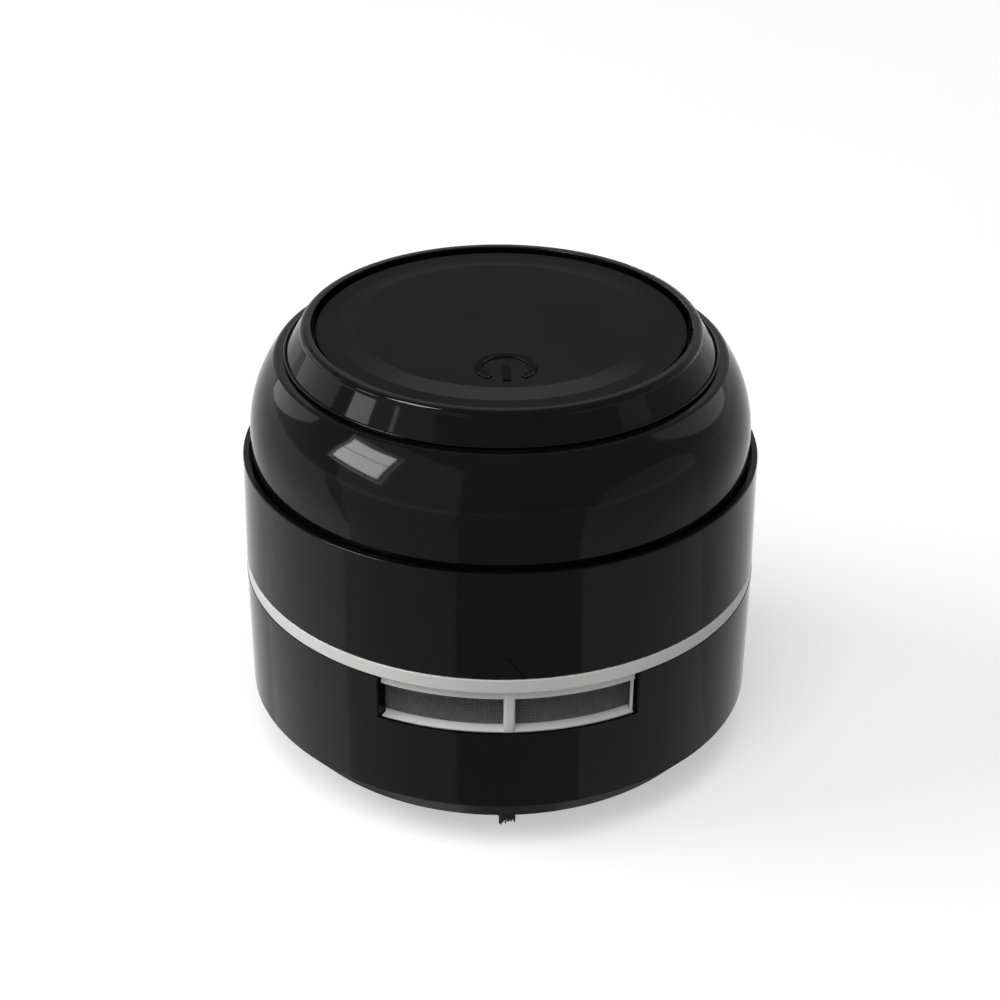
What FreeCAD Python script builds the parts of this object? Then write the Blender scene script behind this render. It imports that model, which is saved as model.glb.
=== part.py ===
import FreeCAD, Part
import os
import re
import sys
import Sketcher

# A palm-size desk vacuum. It stands on its bristles at height 0, its axis is Z and its window and
# power sign face -Y. The dust cup and its cover stand still, the white filter basket drops into the
# cup, and the head with the motor, the fan and the button stands on the basket's band.

# Every size in millimetres, or degrees where the name ends in angle.
SIZES = {
    # outer form, from the bristle tips up
    "body_radius": 44.0,
    "cup_foot_inset": 0.13,
    "cover_slope": 4.77,
    "cover_height": 5.55,
    "cup_height": 22.25,
    "band_height": 2.55,
    "belt_foot_inset": 0.07,
    "belt_rim_inset": 0.43,
    "belt_height": 19.25,
    "dome_gap": 0.5,
    "dome_straight": 4.0,
    "shoulder_radius": 21.5,
    "shoulder_height": 13.3,
    "collar_height": 5.0,
    "collar_setback": 1.79,
    "collar_foot_height": 0.3,
    "collar_lean": 2.45,
    "collar_width": 1.87,
    "collar_edge_radius": 1.0,
    "collar_bore_edge_radius": 0.2,
    "disc_inset": 0.8,
    # cup and bottom cover
    "cup_wall": 2.4,
    "cup_floor": 1.6,
    "cover_wall": 1.8,
    "cover_edge_radius": 0.5,
    "inlet_radius": 10.5,
    "inlet_lip": 1.6,
    "cover_screw_inset": 8.1,
    "cover_boss_radius": 2.6,
    # brush strips
    "brush_length": 3.4,
    "brush_width": 3.0,
    "brush_seat": 3.2,
    "brush_inner_gap": 4.5,
    "brush_outer_gap": 1.8,
    "channel_wall": 1.2,
    # windows
    "window_angle": 28.4,
    "window_depth": 7.85,
    "window_lip": 0.9,
    "notch_edge_radius": 0.25,
    "frame_ledge": 1.5,
    "frame_header": 1.6,
    "frame_bar": 1.87,
    "frame_bar_proud": 0.1,
    "frame_bar_edge_radius": 0.6,
    "frame_gap_angle": 0.3,
    # filter basket
    "basket_wall": 1.4,
    "basket_floor": 1.4,
    "basket_foot_gap": 0.35,
    "floor_lip": 0.6,
    "floor_lip_width": 0.8,
    "flange_width": 5.7,
    "band_inset": 0.05,
    "chimney_height": 8.8,
    "chimney_taper": 2.0,
    "chimney_wall": 1.3,
    "chimney_seat": 0.6,
    "mesh_thickness": 0.3,
    "mesh_margin_angle": 2.0,
    "air_margin_angle": 1.6,
    "air_sill": 0.6,
    # belt
    "rim_wall": 0.92,
    "rim_depth": 5.0,
    "belt_wall": 2.6,
    "spigot_wall": 2.0,
    "spigot_depth": 2.75,
    "shelf_thickness": 1.6,
    "deck_seat_width": 1.0,
    "seam_edge_radius": 0.25,
    "mark_width": 0.6,
    "mark_run": 2.35,
    "mark_rise": 3.65,
    "mark_lift": 0.35,
    "mark_depth": 0.3,
    # dome
    "dome_wall": 1.8,
    "dome_edge_radius": 0.7,
    "post_inset": 3.9,
    "post_radius": 2.4,
    "switch_hole_gap": 0.45,
    # button
    "disc_gap": 0.73,
    "disc_wall": 1.6,
    "skirt_wall": 1.5,
    "crown_inset": 6.7,
    "crown_slope": 3.5,
    "crown_height": 0.45,
    "disc_edge_radius": 0.35,
    "guide_inset": 5.7,
    "guide_radius": 1.6,
    "spring_pocket_radius": 3.7,
    "spring_pocket_depth": 0.8,
    "spring_radius": 2.7,
    "spring_wire": 0.45,
    "spring_turns": 2.5,
    "stop_gap": 0.1,
    "stop_head_radius": 2.8,
    "button_travel": 1.3,
    # deck and its screws
    "deck_wall": 1.6,
    "small_screw_radius": 1.0,
    "small_head_radius": 2.0,
    "small_head_height": 1.0,
    "deck_screw_length": 8.0,
    "short_screw_length": 4.0,
    # motor
    "gasket_thickness": 0.8,
    "can_radius": 12.0,
    "can_edge": 0.6,
    "can_boss_radius": 3.0,
    "can_boss_height": 1.5,
    "can_end_wall": 2.0,
    "end_cap_radius": 11.4,
    "end_cap_height": 2.0,
    "end_cap_slope": 1.0,
    "motor_screw_circle": 8.5,
    "terminal_width": 2.8,
    "terminal_thickness": 0.5,
    "terminal_height": 2.2,
    "terminal_gap": 1.05,
    "terminal_spacing": 15.0,
    "shaft_radius": 1.0,
    "shaft_play": 0.06,
    # fan
    "fan_gap": 1.35,
    "fan_radius": 21.5,
    "fan_plate": 1.2,
    "fan_hub_radius": 4.2,
    "fan_hub_drop": 6.4,
    "fan_hub_rise": 0.7,
    "fan_hub_taper": 0.8,
    "fan_eye_radius": 7.5,
    "blade_height": 7.2,
    "blade_rim_height": 4.6,
    "blade_thickness": 1.1,
    "blade_curve_radius": 12.0,
    "blade_tip_inset": 0.6,
    "blade_flat": 1.5,
    # battery
    "cell_radius": 7.0,
    "cell_end_gap": 0.39,
    "cell_side_gap": 1.46,
    "cell_lift": 0.3,
    "cradle_thickness": 2.0,
    "cradle_inset": 12.5,
    "tab_thickness": 0.25,
    "tab_width": 5.0,
    "tab_reach": 1.0,
    # circuit board and switch
    "board_radius": 17.5,
    "board_thickness": 1.6,
    "board_drop": 3.5,
    "board_screw_circle": 14.0,
    "board_boss_radius": 2.2,
    "switch_width": 7.0,
    "switch_height": 4.4,
    "plunger_radius": 1.75,
    "plunger_depth": 1.6,
    # charging socket
    "charge_board_width": 14.0,
    "charge_board_length": 13.6,
    "charge_board_thickness": 1.2,
    "charge_board_gap": 1.37,
    "charge_post_height": 3.4,
    "charge_post_radius": 2.0,
    "charge_post_spacing": 9.0,
    "charge_post_setback": 3.0,
    "socket_width": 8.94,
    "socket_height": 3.26,
    "socket_length": 7.3,
    "socket_wall": 0.3,
    "socket_recess": 0.6,
    "socket_corner_radius": 1.2,
    "socket_back_wall": 1.0,
    "socket_gap": 0.2,
    "tongue_width": 6.6,
    "tongue_height": 0.7,
    "tongue_recess": 0.8,
    # fits
    "running_gap": 0.3,
    "screw_gap": 0.1,
}

# Heights above the bristle tips and radii that follow from the sizes, and how far a cut runs past
# the faces that it opens.
LEVELS = {
    "past": "1",
    "cup_foot_radius": "body_radius - cup_foot_inset",
    "cover_face_radius": "cup_foot_radius - cover_slope",
    "cover_screw_circle": "cover_face_radius - cover_screw_inset",
    "brush_start": "inlet_radius + brush_inner_gap",
    "brush_end": "cover_face_radius - brush_outer_gap",
    "belt_foot_radius": "body_radius - belt_foot_inset",
    "belt_rim_radius": "body_radius - belt_rim_inset",
    "dome_radius": "belt_rim_radius - rim_wall - dome_gap",
    "crease": "brush_length + cover_height",
    "cup_top": "crease + cup_height",
    "band_top": "cup_top + band_height",
    "belt_top": "band_top + belt_height",
    "dome_seat": "belt_top - rim_depth",
    "shoulder": "belt_top + dome_straight",
    "dome_top": "shoulder + shoulder_height",
    "plate_under": "dome_top - dome_wall",
    "collar_top": "dome_top + collar_height",
    "disc_top": "collar_top - disc_inset",
    "disc_under": "disc_top - disc_wall",
    "sill": "cup_top - window_depth",
    "cup_bore": "body_radius - cup_wall",
    "window_face": "body_radius - window_lip",
    "band_radius": "body_radius - band_inset",
    "basket_radius": "cup_bore - running_gap",
    "basket_bore": "basket_radius - basket_wall",
    "mesh_seat": "basket_radius - mesh_thickness - screw_gap",
    "basket_foot": "crease + cup_floor + basket_foot_gap",
    "basket_base": "basket_foot + basket_floor",
    "floor_lip_radius": "basket_bore - floor_lip_width",
    "chimney_radius": "inlet_radius + chimney_wall",
    "chimney_neck_radius": "chimney_radius - chimney_seat",
    "band_bore": "body_radius - flange_width",
    "spigot_radius": "band_bore - running_gap - screw_gap",
    "deck_radius": "spigot_radius - spigot_wall - 2 * screw_gap",
    "deck_top": "band_top + deck_wall",
    "shelf_bore": "deck_radius - deck_seat_width",
    "belt_bore": "belt_rim_radius - belt_wall",
    "shoulder_centre": "dome_radius - shoulder_radius",
    "dome_edge": "shoulder_centre + sqrt(shoulder_radius ^ 2 - shoulder_height ^ 2)",
    "collar_foot_radius": "dome_edge - collar_setback",
    "collar_rim_radius": "collar_foot_radius - collar_lean",
    "collar_bore_radius": "collar_rim_radius - collar_width",
    "disc_radius": "collar_bore_radius - disc_gap",
    "skirt_height": "disc_under - dome_top - button_travel - running_gap",
    "crown_radius": "disc_radius - crown_inset",
    "guide_circle": "disc_radius - guide_inset",
    "post_circle": "deck_radius - post_inset",
    "switch_hole_radius": "switch_width / sqrt(2) + switch_hole_gap",
    "motor_foot": "deck_top + gasket_thickness",
    "cap_top": "board_under - terminal_gap - terminal_height",
    "can_top": "cap_top - end_cap_height",
    "fan_top": "band_top - fan_gap",
    "fan_under": "fan_top - fan_plate",
    "blade_reach": "fan_radius - blade_tip_inset",
    "board_top": "plate_under - board_drop",
    "board_under": "board_top - board_thickness",
    "cell_height": "deck_top + shelf_thickness + cell_lift + cell_radius",
    "cell_length": "2 * (post_circle * sin(60) - post_radius - tab_thickness - cell_end_gap)",
    "cell_offset": "sqrt((belt_bore - cell_side_gap) ^ 2 - (cell_length / 2) ^ 2) - cell_radius",
    "charge_board_reach": "belt_bore - charge_board_gap",
    "charge_board_under": "deck_top + charge_post_height",
    "charge_board_top": "charge_board_under + charge_board_thickness",
}

doc = FreeCAD.newDocument("desk_vacuum")
sheet = doc.addObject("Spreadsheet::Sheet", "Sizes")


def fill_sheet():
    for row, (name, number) in enumerate(SIZES.items(), 1):
        sheet.set(f"A{row}", name)
        sheet.set(f"B{row}", str(number))
        sheet.setAlias(f"B{row}", name)
    doc.recompute()


def formula(text):
    """Spells a formula out in the cells of the sheet."""
    def spell(match):
        word = match.group(0)
        if word in LEVELS:
            return "(" + formula(LEVELS[word]) + ")"
        if word in SIZES:
            return "Sizes." + word
        return word
    return re.sub(r"[a-z][a-z_]*", spell, text)


def measure(text):
    return float(sheet.evalExpression(formula(text)))


def new_body(label):
    body = doc.addObject("PartDesign::Body", label)
    body.Label = label
    return body


def origin_part(body, role):
    return next(part for part in body.Origin.OriginFeatures if part.Role == role)


def new_sketch(body, plane, lift="0"):
    """An empty sketch on one of the body's own planes, moved along its normal by lift."""
    sketch = body.newObject("Sketcher::SketchObject", body.Label + "_sketch")
    sketch.AttachmentSupport = [(origin_part(body, plane + "_Plane"), "")]
    sketch.MapMode = "FlatFace"
    if lift != "0":
        sketch.setExpression("AttachmentOffset.Base.z", formula(lift))
    return sketch


def tie(sketch, kind, places, text):
    """Adds a constraint whose value follows a formula."""
    number = sketch.addConstraint(Sketcher.Constraint(kind, *places, measure(text)))
    sketch.setExpression(f"Constraints[{number}]", formula(text))


def tie_point(sketch, line, end, across, up):
    tie(sketch, "DistanceX", (-1, 1, line, end), across)
    tie(sketch, "DistanceY", (-1, 1, line, end), up)


def arc_between(here, there, radius, turn):
    """The shorter arc of a radius between two points, turning left or right on the way."""
    along = there.sub(here)
    offset = (radius ** 2 - (along.Length / 2) ** 2) ** 0.5
    side = FreeCAD.Vector(-along.y, along.x, 0).normalize()
    if turn == "right":
        side = side.negative()
    centre = here.add(there).multiply(0.5).add(side.multiply(offset))
    if turn == "right":
        here, there = there, here
    ends = [FreeCAD.Vector(1, 0, 0).getAngle(spot.sub(centre)) for spot in (here, there)]
    ends = [angle if spot.y >= centre.y else -angle for angle, spot in zip(ends, (here, there))]
    circle = Part.Circle(centre, FreeCAD.Vector(0, 0, 1), radius)
    return Part.ArcOfCircle(circle, ends[0], ends[1])


def outline(sketch, corners):
    """Draws a closed line through corners. A corner is two formulas, for its place, and may add
    a radius and the word left or right, which make the line to it an arc that turns that way."""
    spots = [FreeCAD.Vector(measure(corner[0]), measure(corner[1]), 0) for corner in corners]
    first = sketch.GeometryCount
    ends = []
    for index, here in enumerate(spots):
        following = (index + 1) % len(spots)
        there = spots[following]
        if len(corners[following]) == 2:
            sketch.addGeometry(Part.LineSegment(here, there))
            ends.append((1, 2))
        else:
            radius, turn = corners[following][2:]
            line = sketch.addGeometry(arc_between(here, there, measure(radius), turn))
            tie(sketch, "Radius", (line,), radius)
            ends.append((1, 2) if turn == "left" else (2, 1))
    for index, corner in enumerate(corners):
        before = (index - 1) % len(corners)
        joint = (first + before, ends[before][1], first + index, ends[index][0])
        sketch.addConstraint(Sketcher.Constraint("Coincident", *joint))
        tie_point(sketch, first + index, ends[index][0], corner[0], corner[1])


def rectangle(sketch, left, low, right, high):
    outline(sketch, [(left, low), (right, low), (right, high), (left, high)])


def rounded_rectangle(sketch, middle, width, height, radius):
    """A rectangle with round corners, centred across 0 at the height of its middle."""
    side = f"({width}) / 2"
    radius = f"({radius})"
    inner = f"{side} - {radius}"
    low = f"{middle} - ({height}) / 2"
    high = f"{middle} + ({height}) / 2"
    outline(sketch, [
        (f"-({inner})", low, radius, "left"),
        (inner, low),
        (side, f"{low} + {radius}", radius, "left"),
        (side, f"{high} - {radius}"),
        (inner, high, radius, "left"),
        (f"-({inner})", high),
        (f"-({side})", f"{high} - {radius}", radius, "left"),
        (f"-({side})", f"{low} + {radius}"),
    ])


def circles(sketch, spots, radius):
    for across, up in spots:
        centre = FreeCAD.Vector(measure(across), measure(up), 0)
        line = sketch.addGeometry(Part.Circle(centre, FreeCAD.Vector(0, 0, 1), measure(radius)))
        tie(sketch, "Radius", (line,), radius)
        tie_point(sketch, line, 3, across, up)


def ring_spots(radius, count, start=0):
    """Places spread evenly round the axis."""
    turns = [start + 360 * number / count for number in range(count)]
    return [(f"{radius} * cos({turn})", f"{radius} * sin({turn})") for turn in turns]


def finish_feature(body, feature):
    body.Tip = feature
    doc.recompute()
    return feature


def turned(body, kind, corners, angle="360"):
    """Revolves an outline of radius and height. A part turn is centred on +Y."""
    sketch = new_sketch(body, "XZ" if angle == "360" else "YZ")
    outline(sketch, corners)
    feature = body.newObject("PartDesign::" + kind, body.Label + "_turned")
    feature.Profile = sketch
    feature.ReferenceAxis = (sketch, ["V_Axis"])
    feature.Midplane = angle != "360"
    feature.setExpression("Angle", formula(angle))
    return finish_feature(body, feature)


def revolve(body, corners, angle="360"):
    return turned(body, "Revolution", corners, angle)


def groove(body, corners, angle="360"):
    return turned(body, "Groove", corners, angle)


def pad(body, sketch, length, both_ways=False):
    feature = body.newObject("PartDesign::Pad", body.Label + "_pad")
    feature.Profile = sketch
    feature.SideType = "Symmetric" if both_ways else "One side"
    feature.setExpression("Length", formula(length))
    return finish_feature(body, feature)


def pocket(body, sketch, length, upward=False, both_ways=False):
    feature = body.newObject("PartDesign::Pocket", body.Label + "_pocket")
    feature.Profile = sketch
    feature.Reversed = upward
    feature.SideType = "Symmetric" if both_ways else "One side"
    feature.setExpression("Length", formula(length))
    return finish_feature(body, feature)


def around(body, features, count):
    """Repeats features round the axis."""
    pattern = body.newObject("PartDesign::PolarPattern", body.Label + "_pattern")
    pattern.Originals = features
    pattern.Axis = (origin_part(body, "Z_Axis"), [""])
    pattern.Angle = 360
    pattern.Occurrences = count
    return finish_feature(body, pattern)


def round_edges(body, radius, rings):
    """Fillets the round edges that have the given radius and height."""
    wanted = [(measure(across), measure(up)) for across, up in rings]
    base = body.Tip
    names = []
    for number, edge in enumerate(base.Shape.Edges, 1):
        if isinstance(edge.Curve, Part.Circle):
            place = (edge.Curve.Radius, edge.Curve.Center.z)
            if any(abs(place[0] - w[0]) + abs(place[1] - w[1]) < 0.002 for w in wanted):
                names.append(f"Edge{number}")
    fillet = body.newObject("PartDesign::Fillet", body.Label + "_round")
    fillet.Base = (base, names)
    fillet.setExpression("Radius", formula(radius))
    return finish_feature(body, fillet)


def round_uprights(body, radius, low, high, beyond):
    """Fillets the straight edges that run from one height to another outside a radius."""
    base = body.Tip
    reach = measure(beyond)
    names = []
    for number, edge in enumerate(base.Shape.Edges, 1):
        spots = sorted((vertex.Point for vertex in edge.Vertexes), key=lambda spot: spot.z)
        if len(spots) == 2 and min(spot.x ** 2 + spot.y ** 2 for spot in spots) > reach ** 2:
            if abs(spots[0].z - measure(low)) + abs(spots[1].z - measure(high)) < 0.002:
                names.append(f"Edge{number}")
    fillet = body.newObject("PartDesign::Fillet", body.Label + "_round")
    fillet.Base = (base, names)
    fillet.setExpression("Radius", formula(radius))
    return finish_feature(body, fillet)


def pegs(body, spots, radius, low, high):
    """Round pegs standing from one height to another."""
    sketch = new_sketch(body, "XY", low)
    circles(sketch, spots, radius)
    return pad(body, sketch, f"({high}) - ({low})")


def holes(body, spots, radius, low, high):
    """Round holes cut from one height up to another."""
    sketch = new_sketch(body, "XY", low)
    circles(sketch, spots, radius)
    return pocket(body, sketch, f"({high}) - ({low})", upward=True)


def make_base_cover():
    """The shallow bottom dish with its inlet and four brush channels."""
    body = new_body("base_cover")
    revolve(body, [
        ("inlet_radius", "brush_length"),
        ("cover_face_radius", "brush_length"),
        ("cup_foot_radius", "crease"),
        ("cup_foot_radius - cover_wall", "crease"),
        ("cover_face_radius - cover_wall / 2", "brush_length + cover_wall"),
        ("inlet_radius + inlet_lip", "brush_length + cover_wall"),
        ("inlet_radius + inlet_lip", "crease"),
        ("inlet_radius", "crease"),
    ])
    round_edges(body, "cover_edge_radius", [("cover_face_radius", "brush_length")])
    sketch = new_sketch(body, "XY", "brush_length")
    half = "(brush_width / 2 + channel_wall)"
    rectangle(sketch, "brush_start - channel_wall", f"-{half}", "brush_end + channel_wall", half)
    channel = pad(body, sketch, "brush_seat + channel_wall")
    sketch = new_sketch(body, "XY", "brush_length")
    half = "brush_width / 2"
    rectangle(sketch, "brush_start", f"-{half}", "brush_end", half)
    slot = pocket(body, sketch, "brush_seat", upward=True)
    around(body, [channel, slot], 4)
    spots = ring_spots("cover_screw_circle", 4, 45)
    low = "brush_length"
    holes(body, spots, "small_screw_radius + screw_gap", low, "crease")
    holes(body, spots, "small_head_radius + screw_gap", low, f"{low} + small_head_height")


def make_brush_strips():
    body = new_body("brush_strips")
    sketch = new_sketch(body, "XY")
    rectangle(sketch, "brush_start", "-brush_width / 2", "brush_end", "brush_width / 2")
    strip = pad(body, sketch, "brush_length + brush_seat")
    around(body, [strip], 4)


def screw_set(label, spots, head_radius, head_low, head_high, tip):
    """Screws as a head and a shank, which may stand above or below the head."""
    body = new_body(label)
    pegs(body, spots, head_radius, head_low, head_high)
    if measure(tip) > measure(head_high):
        pegs(body, spots, "small_screw_radius", head_high, tip)
    else:
        pegs(body, spots, "small_screw_radius", tip, head_low)


def make_base_screws():
    spots = ring_spots("cover_screw_circle", 4, 45)
    low = "brush_length + screw_gap"
    tip = f"{low} + short_screw_length"
    screw_set("base_screws", spots, "small_head_radius", low, "brush_length + small_head_height", tip)


def make_dust_cup():
    """The black cup: a wall with a notch for each window, a floor with the inlet, and bosses."""
    body = new_body("dust_cup")
    revolve(body, [
        ("inlet_radius", "crease"),
        ("cup_foot_radius", "crease"),
        ("body_radius", "cup_top"),
        ("cup_bore", "cup_top"),
        ("cup_bore", "crease + cup_floor"),
        ("inlet_radius", "crease + cup_floor"),
    ])
    notch = groove(body, [
        ("cup_bore - past", "sill"),
        ("body_radius + past", "sill"),
        ("body_radius + past", "cup_top + past"),
        ("cup_bore - past", "cup_top + past"),
    ], "2 * window_angle")
    rebate = groove(body, [
        ("cup_bore - past", "sill - frame_ledge - screw_gap"),
        ("window_face + running_gap", "sill - frame_ledge - screw_gap"),
        ("window_face + running_gap", "sill + past"),
        ("cup_bore - past", "sill + past"),
    ], "2 * window_angle")
    around(body, [notch, rebate], 2)
    spots = ring_spots("cover_screw_circle", 4, 45)
    pegs(body, spots, "cover_boss_radius", "brush_length + cover_wall", "crease + cup_floor / 2")
    tip = "brush_length + short_screw_length + screw_gap"
    holes(body, spots, "small_screw_radius", "brush_length", tip)
    round_uprights(body, "notch_edge_radius", "sill", "cup_top", "cup_bore + cup_wall / 2")


def make_filter_basket():
    """The white basket: band, wall with air windows, window frames and a lip at its foot."""
    body = new_body("filter_basket")
    revolve(body, [
        ("floor_lip_radius", "basket_foot"),
        ("basket_radius", "basket_foot"),
        ("basket_radius", "sill"),
        ("mesh_seat", "sill"),
        ("mesh_seat", "cup_top"),
        ("band_radius", "cup_top"),
        ("band_radius", "band_top"),
        ("band_bore", "band_top"),
        ("band_bore", "cup_top"),
        ("basket_bore", "cup_top - (basket_bore - band_bore)"),
        ("basket_bore", "basket_foot + floor_lip"),
        ("floor_lip_radius", "basket_foot + floor_lip"),
    ])
    air = groove(body, [
        ("basket_bore - past", "sill + air_sill"),
        ("mesh_seat + past", "sill + air_sill"),
        ("mesh_seat + past", "cup_top - frame_header"),
        ("basket_bore - past", "cup_top - frame_header"),
    ], "2 * (window_angle - air_margin_angle)")
    ledge = revolve(body, [
        ("basket_radius - basket_wall / 2", "sill - frame_ledge"),
        ("window_face", "sill - frame_ledge"),
        ("window_face", "sill"),
        ("basket_radius - basket_wall / 2", "sill"),
    ], "2 * (window_angle - frame_gap_angle)")
    header = revolve(body, [
        ("basket_radius", "cup_top - frame_header"),
        ("window_face", "cup_top - frame_header"),
        ("window_face", "cup_top + band_height / 2"),
        ("basket_radius", "cup_top + band_height / 2"),
    ], "2 * (window_angle - frame_gap_angle)")
    sketch = new_sketch(body, "XY", "sill - frame_ledge")
    back = "mesh_seat + mesh_thickness + screw_gap"
    front = "window_face + frame_bar_proud"
    rounded_rectangle(sketch, f"({back} + {front}) / 2", "frame_bar", f"{front} - ({back})",
                      "frame_bar_edge_radius")
    bar = pad(body, sketch, "frame_ledge + window_depth + band_height / 2")
    around(body, [air, ledge, header, bar], 2)
    round_edges(body, "seam_edge_radius", [("band_radius", "cup_top"), ("band_radius", "band_top")])


def make_floor_plate():
    """The basket's floor, a stepped disc that drops onto the lip at the wall's foot."""
    body = new_body("floor_plate")
    revolve(body, [
        ("chimney_neck_radius + screw_gap", "basket_foot"),
        ("floor_lip_radius - screw_gap", "basket_foot"),
        ("floor_lip_radius - screw_gap", "basket_foot + floor_lip"),
        ("basket_bore - screw_gap", "basket_foot + floor_lip"),
        ("basket_bore - screw_gap", "basket_base"),
        ("chimney_neck_radius + screw_gap", "basket_base"),
    ])


def make_inlet_chimney():
    """The duct that stands in the floor plate and keeps the dust from falling back out."""
    body = new_body("inlet_chimney")
    top = "basket_foot + chimney_height"
    revolve(body, [
        ("inlet_radius", "basket_foot"),
        ("chimney_neck_radius", "basket_foot"),
        ("chimney_neck_radius", "basket_base"),
        ("chimney_radius", "basket_base"),
        ("chimney_radius - chimney_taper", top),
        ("inlet_radius - chimney_taper", top),
    ])


def make_filter_mesh():
    """Two curved mesh panels behind the windows."""
    body = new_body("filter_mesh")
    panel = revolve(body, [
        ("mesh_seat", "sill"),
        ("mesh_seat + mesh_thickness", "sill"),
        ("mesh_seat + mesh_thickness", "cup_top"),
        ("mesh_seat", "cup_top"),
    ], "2 * (window_angle + mesh_margin_angle)")
    around(body, [panel], 2)


def make_middle_housing():
    """The belt: rim over the dome, wall, inner shelf, spigot into the band and alignment mark."""
    body = new_body("middle_housing")
    revolve(body, [
        ("belt_foot_radius", "band_top"),
        ("belt_rim_radius", "belt_top"),
        ("belt_rim_radius - rim_wall", "belt_top"),
        ("belt_rim_radius - rim_wall", "dome_seat"),
        ("belt_bore", "dome_seat"),
        ("belt_bore", "deck_top + shelf_thickness"),
        ("shelf_bore", "deck_top + shelf_thickness"),
        ("shelf_bore", "deck_top"),
        ("spigot_radius - spigot_wall", "deck_top"),
        ("spigot_radius - spigot_wall", "band_top - spigot_depth"),
        ("spigot_radius", "band_top - spigot_depth"),
        ("spigot_radius", "band_top"),
    ])
    sketch = new_sketch(body, "XZ", "-(belt_bore - past)")
    middle = "charge_board_top + socket_height / 2"
    width = "socket_width + 2 * socket_gap"
    height = "socket_height + 2 * socket_gap"
    rounded_rectangle(sketch, middle, width, height, "socket_corner_radius")
    pocket(body, sketch, "belt_foot_radius - belt_bore + 2 * past")
    seams = [("belt_rim_radius", "belt_top"), ("belt_foot_radius", "band_top")]
    round_edges(body, "seam_edge_radius", seams)
    sketch = new_sketch(body, "XZ", "belt_foot_radius + past")
    low = "band_top + mark_lift"
    outline(sketch, [
        ("mark_run - mark_width / 2", low),
        ("mark_run + mark_width / 2", low),
        ("mark_width / 2", f"{low} + mark_rise"),
        ("-mark_width / 2", f"{low} + mark_rise"),
    ])
    pocket(body, sketch, "past + mark_depth")


def make_top_housing():
    """The dome: round shoulder, flat top plate, long screw posts and short board bosses."""
    body = new_body("top_housing")
    inner = "shoulder_centre + sqrt((shoulder_radius - dome_wall) ^ 2 - (shoulder_height - dome_wall) ^ 2)"
    revolve(body, [
        ("dome_radius - dome_wall", "dome_seat"),
        ("dome_radius", "dome_seat"),
        ("dome_radius", "shoulder"),
        ("dome_edge", "dome_top", "shoulder_radius", "left"),
        ("switch_hole_radius", "dome_top"),
        ("switch_hole_radius", "plate_under"),
        (inner, "plate_under"),
        ("dome_radius - dome_wall", "shoulder", "shoulder_radius - dome_wall", "right"),
    ])
    posts = ring_spots("post_circle", 3)
    pegs(body, posts, "post_radius", "deck_top", "dome_top - dome_wall / 2")
    holes(body, posts, "small_screw_radius", "deck_top - past", "band_top + deck_screw_length")
    bosses = ring_spots("board_screw_circle", 3)
    pegs(body, bosses, "board_boss_radius", "board_top", "dome_top - dome_wall / 2")
    holes(body, bosses, "small_screw_radius", "board_top - past", "board_under + short_screw_length")
    guides = ring_spots("guide_circle", 3, 60)
    holes(body, guides, "guide_radius + running_gap", "plate_under - past", "dome_top + past")
    holes(body, guides, "spring_pocket_radius", "dome_top - spring_pocket_depth", "dome_top + past")
    round_edges(body, "dome_edge_radius", [("dome_edge", "dome_top")])


def make_collar_ring():
    """The raised ring round the button, leaning inwards to a rounded rim."""
    body = new_body("collar_ring")
    revolve(body, [
        ("collar_bore_radius", "dome_top"),
        ("collar_foot_radius", "dome_top"),
        ("collar_foot_radius", "dome_top + collar_foot_height"),
        ("collar_rim_radius", "collar_top - collar_edge_radius"),
        ("collar_rim_radius - collar_edge_radius", "collar_top", "collar_edge_radius", "left"),
        ("collar_bore_radius", "collar_top"),
    ])
    round_edges(body, "collar_bore_edge_radius", [("collar_bore_radius", "collar_top")])


def make_button_disc():
    """The wide push button: raised middle, sloped ring, skirt and three guide posts."""
    body = new_body("button_disc")
    revolve(body, [
        ("0", "disc_under"),
        ("disc_radius - skirt_wall", "disc_under"),
        ("disc_radius - skirt_wall", "disc_under - skirt_height"),
        ("disc_radius", "disc_under - skirt_height"),
        ("disc_radius", "disc_top"),
        ("crown_radius + crown_slope", "disc_top"),
        ("crown_radius", "disc_top + crown_height"),
        ("0", "disc_top + crown_height"),
    ])
    guides = ring_spots("guide_circle", 3, 60)
    pegs(body, guides, "guide_radius", "plate_under - stop_gap", "disc_under + disc_wall / 2")
    high = "plate_under - stop_gap + short_screw_length"
    holes(body, guides, "small_screw_radius", "plate_under - stop_gap - past", high)
    round_edges(body, "disc_edge_radius", [("disc_radius", "disc_top")])


def make_button_screws():
    high = "plate_under - stop_gap"
    spots = ring_spots("guide_circle", 3, 60)
    tip = f"{high} + short_screw_length"
    screw_set("button_screws", spots, "stop_head_radius", f"{high} - small_head_height", high, tip)


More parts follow.
